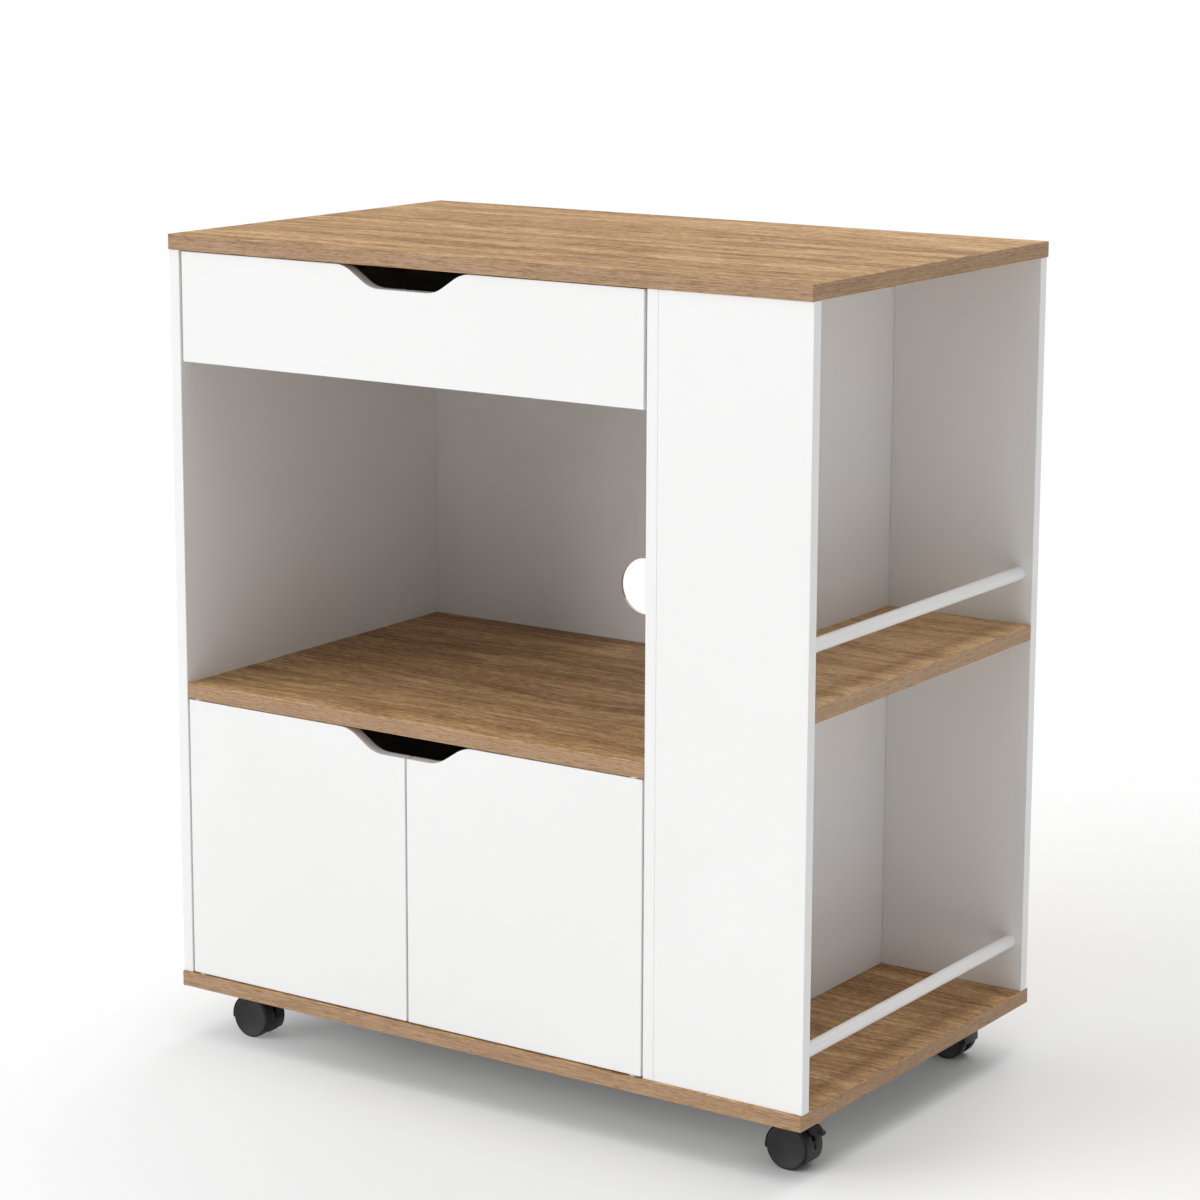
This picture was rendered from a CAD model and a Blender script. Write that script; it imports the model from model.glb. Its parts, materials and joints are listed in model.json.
import json
import math

import bpy
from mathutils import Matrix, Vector

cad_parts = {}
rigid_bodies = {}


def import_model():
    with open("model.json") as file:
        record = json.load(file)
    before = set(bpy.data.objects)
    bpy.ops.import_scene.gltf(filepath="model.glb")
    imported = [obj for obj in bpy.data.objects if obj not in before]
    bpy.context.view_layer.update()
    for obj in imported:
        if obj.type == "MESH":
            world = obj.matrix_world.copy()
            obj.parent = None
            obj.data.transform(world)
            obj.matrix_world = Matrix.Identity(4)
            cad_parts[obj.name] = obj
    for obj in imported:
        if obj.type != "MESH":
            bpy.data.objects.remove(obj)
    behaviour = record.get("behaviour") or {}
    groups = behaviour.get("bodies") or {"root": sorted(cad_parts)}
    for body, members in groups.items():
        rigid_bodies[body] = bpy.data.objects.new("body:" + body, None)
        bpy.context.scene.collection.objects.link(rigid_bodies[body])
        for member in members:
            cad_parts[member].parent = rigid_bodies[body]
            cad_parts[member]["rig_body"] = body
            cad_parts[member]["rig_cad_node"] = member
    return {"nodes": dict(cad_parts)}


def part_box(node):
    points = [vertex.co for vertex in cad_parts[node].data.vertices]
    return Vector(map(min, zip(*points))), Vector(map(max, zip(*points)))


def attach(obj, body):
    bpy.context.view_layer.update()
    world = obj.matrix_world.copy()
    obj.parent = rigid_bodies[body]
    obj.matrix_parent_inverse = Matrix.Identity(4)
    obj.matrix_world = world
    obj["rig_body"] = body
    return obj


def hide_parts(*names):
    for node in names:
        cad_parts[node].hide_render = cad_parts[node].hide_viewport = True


for leftover in list(bpy.data.objects):
    bpy.data.objects.remove(leftover)
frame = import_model()
bpy.context.view_layer.update()
bpy.ops.object.select_all(action="DESELECT")


# ------------------------------------------------------------------ base board
# The lowest board: 15 mm particleboard in oak-look foil, edge-banded all round. The uprights
# stand on it, held by dowels and by long screws from below. Its grain runs across the front.

def wire(tree, start, end):
    tree.links.new(start, end)


def add(tree, kind, **settings):
    made = tree.nodes.new(kind)
    for key, value in settings.items():
        setattr(made, key, value)
    return made


def feed(tree, value, socket):
    # A number is set on the socket, and anything else is wired to it
    if isinstance(value, (int, float)):
        socket.default_value = value
    else:
        wire(tree, value, socket)


def sums(tree, operation, first, second):
    made = add(tree, "ShaderNodeMath", operation=operation)
    feed(tree, first, made.inputs[0])
    feed(tree, second, made.inputs[1])
    return made.outputs[0]


def weighted(tree, parts):
    # The sum of some values, each times its weight
    total = 0
    for value, weight in parts:
        total = sums(tree, "ADD", total, sums(tree, "MULTIPLY", value, weight))
    return total


def choose(tree, test, if_no, if_yes):
    # One of two numbers, by a test that is 0 or 1
    made = add(tree, "ShaderNodeMix", data_type="FLOAT")
    wire(tree, test, made.inputs[0])
    feed(tree, if_no, made.inputs[2])
    feed(tree, if_yes, made.inputs[3])
    return made.outputs[0]


def choose_colour(tree, test, if_no, if_yes):
    made = add(tree, "ShaderNodeMix", data_type="RGBA")
    wire(tree, test, made.inputs[0])
    wire(tree, if_no, made.inputs[6])
    wire(tree, if_yes, made.inputs[7])
    return made.outputs[2]


def multiply_colour(tree, share, colour, by):
    made = add(tree, "ShaderNodeMix", data_type="RGBA", blend_type="MULTIPLY")
    made.inputs[0].default_value = share
    wire(tree, colour, made.inputs[6])
    wire(tree, by, made.inputs[7])
    return made.outputs[2]


def place_and_facing(tree):
    # A point's x, y and z on its piece in metres, and where the surface faces there
    coords = add(tree, "ShaderNodeTexCoord")
    place = add(tree, "ShaderNodeSeparateXYZ")
    facing = add(tree, "ShaderNodeSeparateXYZ")
    wire(tree, coords.outputs["Object"], place.inputs[0])
    wire(tree, coords.outputs["Normal"], facing.inputs[0])
    return place.outputs, facing.outputs


def stretched_noise(tree, place, scales, detail, roughness=0.5):
    # Noise over three coordinates, each with its own number of features per metre
    vector = add(tree, "ShaderNodeCombineXYZ")
    for end, (part, scale) in enumerate(zip(place, scales)):
        wire(tree, sums(tree, "MULTIPLY", part, scale), vector.inputs[end])
    noise = add(tree, "ShaderNodeTexNoise", noise_dimensions="3D")
    noise.inputs["Scale"].default_value = 1.0
    noise.inputs["Detail"].default_value = detail
    noise.inputs["Roughness"].default_value = roughness
    wire(tree, vector.outputs[0], noise.inputs["Vector"])
    return noise.outputs["Fac"]


def even_noise(tree, place, scale, detail, roughness=0.5):
    return stretched_noise(tree, place, (scale,) * 3, detail, roughness)


def ramp(tree, value, stops):
    made = add(tree, "ShaderNodeValToRGB")
    band = made.color_ramp
    while len(band.elements) < len(stops):
        band.elements.new(0.5)
    for stop, (place, colour) in zip(band.elements, stops):
        stop.position = place
        stop.color = (*colour, 1.0)
    wire(tree, value, made.inputs[0])
    return made.outputs[0]


def surface(name, roughness, metallic=0.0, specular=0.5):
    material = bpy.data.materials.new(name)
    material.use_nodes = True
    shader = material.node_tree.nodes["Principled BSDF"]
    shader.inputs["Roughness"].default_value = roughness
    shader.inputs["Metallic"].default_value = metallic
    shader.inputs["Specular IOR Level"].default_value = specular
    return material, material.node_tree, shader


def gloss(tree, shader, value, at_low, at_high, low=0.3, high=0.7):
    # The roughness goes from one number to another as a noise goes from low to high
    greys = ramp(tree, value, [(low, (at_low,) * 3), (high, (at_high,) * 3)])
    wire(tree, greys, shader.inputs["Roughness"])


def raised(tree, shader, height, distance, strength=1.0):
    bump = add(tree, "ShaderNodeBump")
    bump.inputs["Strength"].default_value = strength
    bump.inputs["Distance"].default_value = distance
    wire(tree, height, bump.inputs["Height"])
    wire(tree, bump.outputs[0], shader.inputs["Normal"])


def coat(node, material):
    node.data.materials.clear()
    node.data.materials.append(material)


def oak_foil(name, seed, backing=False, paler=0.0):
    # paler shifts a board's whole print a little, as boards of one batch differ
    material, tree, shader = surface(name, 0.5, specular=0.25)
    (x, y, z), facing = place_and_facing(tree)
    on_end = sums(tree, "GREATER_THAN", sums(tree, "ABSOLUTE", facing[0], 0), 0.6)
    on_flat = sums(tree, "GREATER_THAN", sums(tree, "ABSOLUTE", facing[2], 0), 0.6)

    # The foil's grain runs along the board's length, and along each strip of edge band
    along = choose(tree, on_end, x, y)
    across = choose(tree, on_flat, z, y)
    layer = sums(tree, "ADD", seed, weighted(tree, ((on_flat, 0.37), (on_end, 0.71))))

    # The lines drift and spread as they do in a plain-sawn board, and run straight in the band
    drift = stretched_noise(tree, (along, across, layer), (2.1, 7.0, 1.0), 2.0)
    waver = stretched_noise(tree, (along, across, layer), (17.0, 45.0, 3.0), 2.0)
    bent = sums(tree, "ADD", across, weighted(tree, (
        (sums(tree, "SUBTRACT", drift, 0.5), choose(tree, on_flat, 0.004, 0.075)),
        (sums(tree, "SUBTRACT", waver, 0.5), choose(tree, on_flat, 0.001, 0.008)))))
    grain = (along, bent, layer)
    bands = stretched_noise(tree, grain, (2.2, 42.0, 9.0), 2.0)
    streaks = stretched_noise(tree, grain, (15.0, 190.0, 9.0), 4.0, 0.7)
    strands = stretched_noise(tree, grain, (11.0, 950.0, 9.0), 3.0, 0.6)
    fibres = stretched_noise(tree, grain, (190.0, 1100.0, 9.0), 3.0, 0.7)
    flecks = stretched_noise(tree, grain, (120.0, 330.0, 9.0), 2.0, 0.6)
    pores = stretched_noise(tree, grain, (70.0, 1500.0, 9.0), 1.0)

    # Each weight is given for the edge band, and then for the flat of the board
    tone = sums(tree, "ADD", paler, weighted(tree, (
        (bands, choose(tree, on_flat, 0.08, 0.22)),
        (streaks, choose(tree, on_flat, 0.14, 0.38)),
        (strands, choose(tree, on_flat, 0.40, 0.10)),
        (fibres, choose(tree, on_flat, 0.38, 0.06)),
        (flecks, choose(tree, on_flat, 0.0, 0.24)))))
    band = ramp(tree, tone, [
        (0.37, (0.285, 0.168, 0.097)), (0.50, (0.405, 0.256, 0.147)),
        (0.63, (0.500, 0.340, 0.211))])
    face = ramp(tree, tone, [
        (0.405, (0.220, 0.110, 0.043)), (0.46, (0.352, 0.192, 0.081)),
        (0.50, (0.460, 0.270, 0.122)), (0.54, (0.560, 0.347, 0.166)),
        (0.59, (0.700, 0.470, 0.248))])
    dark_pores = ramp(tree, pores, [(0.34, (0.60, 0.52, 0.44)), (0.45, (1.0, 1.0, 1.0))])
    colour = multiply_colour(tree, 0.85, choose_colour(tree, on_flat, band, face), dark_pores)
    if backing:
        # The underside carries a plain white balancing foil
        downward = sums(tree, "LESS_THAN", facing[2], -0.9)
        plain = ramp(tree, drift, [(0.3, (0.72, 0.72, 0.71)), (0.7, (0.76, 0.76, 0.75))])
        colour = choose_colour(tree, downward, colour, plain)
    wire(tree, colour, shader.inputs["Base Color"])
    gloss(tree, shader, strands, 0.58, 0.46, 0.35, 0.65)
    raised(tree, shader, weighted(tree, ((strands, 0.6), (pores, 0.4))), 0.00012, 0.5)
    return material


coat(frame["nodes"]["base_board"], oak_foil("oak_foil_base", 1.3, backing=True))


# ------------------------------------------------------------------ uprights
# Left side, divider and the two narrow panels of the side rack: 12 mm particleboard in white
# melamine foil with banded front edges. They stand between base and top board.

def white_foil(name, seed):
    material, tree, shader = surface(name, 0.36, specular=0.45)
    (x, y, z), _ = place_and_facing(tree)
    cloud = even_noise(tree, (x, y, sums(tree, "ADD", z, seed)), 3.1, 2.0)
    colour = ramp(tree, cloud, [(0.25, (0.842, 0.842, 0.838)), (0.75, (0.868, 0.868, 0.866))])
    wire(tree, colour, shader.inputs["Base Color"])
    skin = even_noise(tree, (x, y, z), 420.0, 3.0, 0.6)
    gloss(tree, shader, skin, 0.40, 0.32)
    raised(tree, shader, skin, 0.00006, 0.35)
    return material


white_panel = white_foil("white_foil_carcass", 0.0)
for upright in ("left_side_panel", "divider_panel", "side_front_panel", "side_back_panel"):
    coat(frame["nodes"][upright], white_panel)


# ------------------------------------------------------------------ shelves
# The wide shelf of the open bay, from the left side to the divider, and the small shelf of the
# side rack. Both are 15 mm oak-look boards, hung on cam bolts and dowels.

coat(frame["nodes"]["microwave_shelf"], oak_foil("oak_foil_shelf", 4.9))
coat(frame["nodes"]["side_shelf"], oak_foil("oak_foil_rack", 7.4, paler=0.042))


# ------------------------------------------------------------------ back panel
# 3 mm hardboard, lacquered white on the side that shows and bare brown fibre behind, slid
# into grooves of the boards around it. The lead's outlet is punched through it.

def hardboard(name):
    # The lacquer faces forwards on the back panel, and upwards in the drawer
    material, tree, shader = surface(name, 0.55, specular=0.35)
    place, facing = place_and_facing(tree)
    fibre = even_noise(tree, place, 900.0, 5.0, 0.65)
    blotch = even_noise(tree, place, 14.0, 3.0)
    flecks = even_noise(tree, place, 330.0, 4.0, 0.7)
    felt = weighted(tree, ((fibre, 0.45), (flecks, 0.45), (blotch, 0.10)))
    bare = ramp(tree, felt, [
        (0.36, (0.215, 0.128, 0.070)), (0.50, (0.335, 0.214, 0.126)),
        (0.64, (0.450, 0.305, 0.190))])
    lacquer = ramp(tree, blotch, [(0.3, (0.80, 0.80, 0.79)), (0.7, (0.835, 0.835, 0.825))])
    lacquered = sums(tree, "MAXIMUM", sums(tree, "LESS_THAN", facing[1], -0.5),
                     sums(tree, "GREATER_THAN", facing[2], 0.5))
    wire(tree, choose_colour(tree, lacquered, bare, lacquer), shader.inputs["Base Color"])
    raised(tree, shader, fibre, 0.00010, 0.5)
    return material


fibre_sheet = hardboard("white_hardboard")
coat(frame["nodes"]["back_panel"], fibre_sheet)


# ------------------------------------------------------------------ top board
# The worktop: the same oak-look board as the base, banded on all four edges. It is drawn down
# on the uprights by cam bolts.

coat(frame["nodes"]["top_board"], oak_foil("oak_foil_top", 2.6))


# ------------------------------------------------------------------ board fittings
# Zinc-plated cam locks and bolts draw the boards together beside beech dowels, and long
# screws rise from the base board into the uprights. Nearly all of them are hidden.

def zinc_plate(name):
    material, tree, shader = surface(name, 0.3, metallic=1.0)
    place, _ = place_and_facing(tree)
    bloom = even_noise(tree, place, 160.0, 3.0)
    brush = stretched_noise(tree, place, (1900.0, 260.0, 1900.0), 2.0)
    colour = ramp(tree, bloom, [
        (0.3, (0.60, 0.615, 0.64)), (0.55, (0.68, 0.69, 0.70)), (0.75, (0.73, 0.725, 0.70))])
    wire(tree, colour, shader.inputs["Base Color"])
    gloss(tree, shader, brush, 0.26, 0.42)
    raised(tree, shader, brush, 0.00003, 0.4)
    return material


zinc = zinc_plate("zinc_plate")
for fitting in ("cam_locks", "cam_bolts", "base_screws"):
    coat(frame["nodes"][fitting], zinc)


def bare_beech(name):
    material, tree, shader = surface(name, 0.6, specular=0.3)
    place, _ = place_and_facing(tree)
    flecks = stretched_noise(tree, place, (700.0, 700.0, 60.0), 3.0)
    colour = ramp(tree, flecks, [
        (0.30, (0.56, 0.37, 0.20)), (0.50, (0.70, 0.51, 0.31)), (0.70, (0.77, 0.59, 0.39))])
    wire(tree, colour, shader.inputs["Base Color"])
    raised(tree, shader, flecks, 0.00010, 0.5)
    return material


coat(frame["nodes"]["panel_dowels"], bare_beech("bare_beech"))


# ------------------------------------------------------------------ guard rails
# Two round steel rails, powder-coated white, whose ends sit in blind holes of the rack's
# front and back panels. They keep things on the open side.

def powder_coat(name):
    material, tree, shader = surface(name, 0.34)
    place, _ = place_and_facing(tree)
    peel = even_noise(tree, place, 650.0, 2.0)
    cloud = even_noise(tree, place, 6.0, 1.0)
    colour = ramp(tree, cloud, [(0.3, (0.815, 0.815, 0.810)), (0.7, (0.850, 0.850, 0.848))])
    wire(tree, colour, shader.inputs["Base Color"])
    gloss(tree, shader, peel, 0.30, 0.40)
    raised(tree, shader, peel, 0.00008, 0.5)
    return material


rail_coat = powder_coat("white_powder_coat")
for rail in ("upper_guard_rail", "lower_guard_rail"):
    coat(frame["nodes"][rail], rail_coat)


# ------------------------------------------------------------------ drawer
# A white front with a finger cutout, doweled by cams to two sides; a back and a hardboard
# bottom in grooves. It slides out on the two runners.

white_drawer = white_foil("white_foil_drawer", 5.0)
for board in ("drawer_front", "drawer_left_side", "drawer_right_side", "drawer_back"):
    coat(frame["nodes"][board], white_drawer)
coat(frame["nodes"]["drawer_bottom"], fibre_sheet)
for fitting in ("drawer_cam_locks", "drawer_cam_bolts", "drawer_back_screws"):
    coat(frame["nodes"][fitting], zinc)


# ------------------------------------------------------------------ drawer runners
# Rolled steel channels, one screwed to the carcass and one to the drawer on each side, with
# a caged row of polished balls above and below between them.

for part in ("left_cabinet_runner", "right_cabinet_runner", "left_drawer_runner",
             "right_drawer_runner", "runner_ball_cages", "hardware_screws",
             "drawer_runner_screws"):
    coat(frame["nodes"][part], zinc)


def polished_steel(name):
    material, tree, shader = surface(name, 0.08, metallic=1.0)
    place, _ = place_and_facing(tree)
    film = even_noise(tree, place, 300.0, 2.0)
    colour = ramp(tree, film, [(0.3, (0.70, 0.71, 0.72)), (0.7, (0.78, 0.78, 0.78))])
    wire(tree, colour, shader.inputs["Base Color"])
    gloss(tree, shader, film, 0.06, 0.14)
    return material


coat(frame["nodes"]["runner_balls"], polished_steel("polished_ball_steel"))


# ------------------------------------------------------------------ doors
# Two white doors that share one finger cutout. Each turns on steel pins in nylon bushes set
# in the base board and the shelf, and a magnet under the shelf holds its strike plate.

white_door = white_foil("white_foil_doors", 9.0)
for door in ("left_door", "right_door"):
    coat(frame["nodes"][door], white_door)
for part in ("left_door_pins", "right_door_pins", "left_strike_plate", "right_strike_plate"):
    coat(frame["nodes"][part], zinc)


def moulded(name, dark, light, roughness, grain_scale, depth):
    # Plastic out of a mould: grained by the tool, and faintly streaked where it flowed
    material, tree, shader = surface(name, roughness, specular=0.35)
    place, _ = place_and_facing(tree)
    grain = even_noise(tree, place, grain_scale, 3.0, 0.6)
    flow = even_noise(tree, place, 45.0, 2.0)
    wire(tree, ramp(tree, flow, [(0.3, dark), (0.7, light)]), shader.inputs["Base Color"])
    gloss(tree, shader, grain, roughness + 0.07, roughness - 0.07)
    raised(tree, shader, grain, depth, 0.6)
    return material


white_nylon = moulded("white_nylon", (0.78, 0.78, 0.755), (0.83, 0.83, 0.81), 0.42, 900.0, 0.00005)
for part in ("pivot_bushes", "magnetic_catches"):
    coat(frame["nodes"][part], white_nylon)
magnet = moulded("sintered_magnet", (0.055, 0.055, 0.058), (0.085, 0.083, 0.08), 0.6, 1500.0, 0.00008)
coat(frame["nodes"]["catch_magnets"], magnet)


# ------------------------------------------------------------------ casters
# Four swivelling twin-wheel casters. A zinc-plated plate with a bearing dish and king pin is
# screwed under the base board; a black nylon hood turns on the pin over two nylon wheels.

CORNERS = ("front_left", "front_right", "back_right", "back_left")
BRAKED = ("front_left", "front_right")

for part in ("caster_plates", "caster_screws"):
    coat(frame["nodes"][part], zinc)
for corner in CORNERS:
    coat(frame["nodes"][corner + "_caster_axle"], zinc)
hood_nylon = moulded(
    "black_hood_nylon", (0.009, 0.009, 0.010), (0.013, 0.013, 0.014), 0.42, 1500.0, 0.00006)
wheel_nylon = moulded(
    "black_wheel_nylon", (0.014, 0.014, 0.015), (0.019, 0.019, 0.020), 0.52, 1100.0, 0.00008)


def only(piece):
    bpy.ops.object.select_all(action="DESELECT")
    piece.select_set(True)
    bpy.context.view_layer.objects.active = piece


def apply_modifier(piece, kind, **settings):
    only(piece)
    modifier = piece.modifiers.new("work", kind)
    for key, value in settings.items():
        setattr(modifier, key, value)
    bpy.ops.object.modifier_apply(modifier="work")


def loose_copy(node, name):
    # A copy of the solid with its triangles joined, ready for the mould's rounding
    piece = frame["nodes"][node].copy()
    piece.data = piece.data.copy()
    piece.name = name
    piece.parent = None
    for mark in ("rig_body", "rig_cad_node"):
        del piece[mark]
    bpy.context.scene.collection.objects.link(piece)
    only(piece)
    bpy.ops.mesh.customdata_custom_splitnormals_clear()
    bpy.ops.object.mode_set(mode="EDIT")
    bpy.ops.mesh.select_all(action="SELECT")
    bpy.ops.mesh.remove_doubles(threshold=5e-5)
    bpy.ops.mesh.dissolve_limited(angle_limit=math.radians(1.0))
    bpy.ops.object.mode_set(mode="OBJECT")
    return piece


def fit_piece(piece, body, node, material):
    coat(piece, material)
    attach(piece, body)
    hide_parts(node)


# The hood is one moulding whose edges are rounded by 0.4 mm
HOOD_ROUND = 0.0004
for corner in CORNERS:
    hood = loose_copy(corner + "_caster_hood", corner + "_moulded_hood")
    apply_modifier(hood, "BEVEL", width=HOOD_ROUND, segments=3, limit_method="ANGLE",
                   angle_limit=math.radians(35), use_clamp_overlap=False, miter_outer="MITER_ARC")
    only(hood)
    bpy.ops.object.shade_smooth_by_angle(angle=math.radians(40))
    fit_piece(hood, corner + "_swivel", corner + "_caster_hood", hood_nylon)


def pick_faces(piece, test):
    # Leaves the faces that pass the test selected, in edit mode
    bpy.ops.object.mode_set(mode="EDIT")
    bpy.ops.mesh.select_mode(type="FACE")
    bpy.ops.mesh.select_all(action="DESELECT")
    bpy.ops.object.mode_set(mode="OBJECT")
    for face in piece.data.polygons:
        face.select = test(face)
    bpy.ops.object.mode_set(mode="EDIT")


def round_rim(piece, side, width, segments):
    # Rounds the rim of the disc's face that looks along +Y or -Y, as side is 1 or -1
    pick_faces(piece, lambda face: face.normal.y * side > 0.9)
    bpy.ops.mesh.bevel(offset=width, offset_type="OFFSET", segments=segments, profile=0.5,
                       affect="EDGES")
    bpy.ops.object.mode_set(mode="OBJECT")


def turn_rings(piece, side, rings):
    # Cuts rings into that face from its rim inwards: each one's width, and how far it rises
    pick_faces(piece, lambda face: face.normal.y * side > 0.999 and face.area > 1e-4)
    for width, rise in rings:
        bpy.ops.mesh.inset(thickness=width, depth=rise)


# A wheel is turned out of a disc: a rounded tread, a stepped outer face, a hub inside.
# Its outer face looks along -Y, as that of the near wheel does.
hood_low, hood_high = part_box("front_left_caster_hood")
wheel_low, wheel_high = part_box("front_left_caster_near_wheel")
caster_middle = (hood_low.y + hood_high.y) / 2
wheel_radius = (wheel_high.z - wheel_low.z) / 2
wheel_inner = caster_middle - wheel_high.y
wheel_outer = caster_middle - wheel_low.y
TREAD_ROUND = 0.0013
INNER_ROUND = 0.0006
STEP = 0.0003
OUTER_RINGS = ((0.0014, 0.0), (STEP, -0.0002), (0.0160, 0.0001))
INNER_RINGS = ((0.0034, 0.0), (STEP, -0.0015), (0.0114, 0.0), (STEP, 0.0014), (0.0024, 0.0))
BORE_DEPTH = 0.0060
bpy.ops.mesh.primitive_cylinder_add(
    vertices=96, radius=wheel_radius, depth=wheel_outer - wheel_inner,
    location=(0, -(wheel_inner + wheel_outer) / 2, 0), rotation=(math.radians(90), 0, 0))
wheel = bpy.context.object
bpy.ops.object.transform_apply(location=True, rotation=True, scale=True)
round_rim(wheel, -1, TREAD_ROUND, 5)
turn_rings(wheel, -1, OUTER_RINGS)
bpy.ops.object.mode_set(mode="OBJECT")
round_rim(wheel, 1, INNER_ROUND, 3)
turn_rings(wheel, 1, INNER_RINGS)
bpy.ops.mesh.extrude_region_move(TRANSFORM_OT_translate={"value": (0, -BORE_DEPTH, 0)})
bpy.ops.object.mode_set(mode="OBJECT")
only(wheel)
bpy.ops.object.shade_smooth_by_angle(angle=math.radians(35))

for corner in CORNERS:
    hood_low, hood_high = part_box(corner + "_caster_hood")
    for side, turn in (("near", 0), ("far", 180)):
        node = corner + "_caster_" + side + "_wheel"
        low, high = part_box(node)
        turned = wheel.copy()
        turned.data = wheel.data.copy()
        turned.name = corner + "_" + side + "_turned_wheel"
        bpy.context.scene.collection.objects.link(turned)
        turned.location = (
            (low.x + high.x) / 2, (hood_low.y + hood_high.y) / 2, (low.z + high.z) / 2)
        turned.rotation_euler = (0, 0, math.radians(turn))
        only(turned)
        bpy.ops.object.transform_apply(location=True, rotation=True, scale=True)
        fit_piece(turned, corner + "_" + side + "_wheel", node, wheel_nylon)
bpy.data.objects.remove(wheel)

# The brake pedal is one small moulding, soft at all its edges
PEDAL_VOXEL = 0.00028
for corner in BRAKED:
    pedal = loose_copy(corner + "_brake_pedal", corner + "_moulded_pedal")
    apply_modifier(pedal, "REMESH", mode="VOXEL", voxel_size=PEDAL_VOXEL)
    apply_modifier(pedal, "SMOOTH", factor=0.5, iterations=5)
    only(pedal)
    bpy.ops.object.shade_smooth()
    fit_piece(pedal, corner + "_pedal", corner + "_brake_pedal", hood_nylon)


# ------------------------------------------------------------------ studio
# A pale floor that fades to white with distance, soft lamps and a long lens. None of this is
# part of the cart.

FLOOR_SIZE = 40.0
FADE_CENTRE = (0.5, 0.3, 0.0)
FADE_START, FADE_END = 0.75, 1.35

bpy.ops.mesh.primitive_grid_add(
    x_subdivisions=8, y_subdivisions=8, size=FLOOR_SIZE, location=(0, 0, 0))
floor = bpy.context.object
floor.name = "studio_floor"


def is_ray(tree, *kinds):
    # 1 for a ray of any of these kinds
    path = add(tree, "ShaderNodeLightPath")
    seen = 0
    for kind in kinds:
        seen = sums(tree, "MAXIMUM", seen, path.outputs[kind])
    return seen


def blend_shaders(tree, share, first, second):
    made = add(tree, "ShaderNodeMixShader")
    wire(tree, share, made.inputs[0])
    wire(tree, first, made.inputs[1])
    wire(tree, second, made.inputs[2])
    return made.outputs[0]


def floor_paint(name):
    material, tree, shader = surface(name, 0.9, specular=0.0)
    shader.inputs["Base Color"].default_value = (0.83, 0.83, 0.83, 1.0)
    coords = add(tree, "ShaderNodeTexCoord")
    reach = add(tree, "ShaderNodeVectorMath", operation="DISTANCE")
    reach.inputs[1].default_value = FADE_CENTRE
    wire(tree, coords.outputs["Object"], reach.inputs[0])
    fade = add(tree, "ShaderNodeMapRange", interpolation_type="SMOOTHSTEP")
    fade.inputs["From Min"].default_value = FADE_START
    fade.inputs["From Max"].default_value = FADE_END
    wire(tree, reach.outputs["Value"], fade.inputs["Value"])
    white = add(tree, "ShaderNodeEmission")
    white.inputs["Strength"].default_value = 1.0
    seen = is_ray(tree, "Is Camera Ray", "Is Glossy Ray", "Is Transmission Ray")
    share = sums(tree, "MULTIPLY", fade.outputs["Result"], seen)
    paint = blend_shaders(tree, share, shader.outputs[0], white.outputs[0])
    wire(tree, paint, tree.nodes["Material Output"].inputs["Surface"])
    return material


coat(floor, floor_paint("studio_floor_paint"))

# The air lights the cart softly from all round, and shows as white behind it
AIR_STRENGTH = 0.37
world = bpy.data.worlds.new("studio_air")
bpy.context.scene.world = world
world.use_nodes = True
tree = world.node_tree
air = tree.nodes["Background"]
air.inputs["Color"].default_value = (1.0, 1.0, 1.0, 1.0)
air.inputs["Strength"].default_value = AIR_STRENGTH
backdrop = add(tree, "ShaderNodeBackground")
backdrop.inputs["Color"].default_value = (1.0, 1.0, 1.0, 1.0)
backdrop.inputs["Strength"].default_value = 1.0
seen = is_ray(tree, "Is Camera Ray", "Is Transmission Ray")
sky = blend_shaders(tree, seen, air.outputs[0], backdrop.outputs[0])
wire(tree, sky, tree.nodes["World Output"].inputs["Surface"])

LAMP_WIDTH = math.radians(40)


def soft_lamp(name, around, up, strength):
    # A broad lamp far off, so many degrees around from the front and up from the floor
    bpy.ops.object.light_add(type="SUN", location=(0, 0, 3))
    lamp = bpy.context.object
    lamp.name = name
    lamp.data.energy = strength
    lamp.data.angle = LAMP_WIDTH
    turn, rise = math.radians(around), math.radians(up)
    towards = Vector((math.sin(turn) * math.cos(rise), -math.cos(turn) * math.cos(rise), math.sin(rise)))
    lamp.rotation_euler = towards.to_track_quat("Z", "Y").to_euler()


soft_lamp("front_left_lamp", -40, 15, 1.38)
soft_lamp("high_front_left_lamp", -40, 40, 0.25)
soft_lamp("left_lamp", -75, 40, 0.29)
soft_lamp("top_lamp", 0, 88, 0.72)
soft_lamp("back_lamp", 180, 50, 1.05)
soft_lamp("high_right_lamp", 60, 65, 0.35)

# The camera stands where the photograph was taken from, with its long lens
CAMERA_PLACE = (1.8173, -2.6825, 1.1432)
CAMERA_TURN = tuple(math.radians(a) for a in (79.045, -0.163, 34.380))
bpy.ops.object.camera_add(location=CAMERA_PLACE, rotation=CAMERA_TURN)
camera = bpy.context.object
camera.name = "photo_camera"
camera.data.sensor_width = 36.0
camera.data.lens = 101.36
camera.data.shift_x = 0.0078
camera.data.shift_y = -0.05
camera.data.clip_end = 100.0
bpy.context.scene.camera = camera
bpy.context.scene.view_settings.view_transform = "Standard"
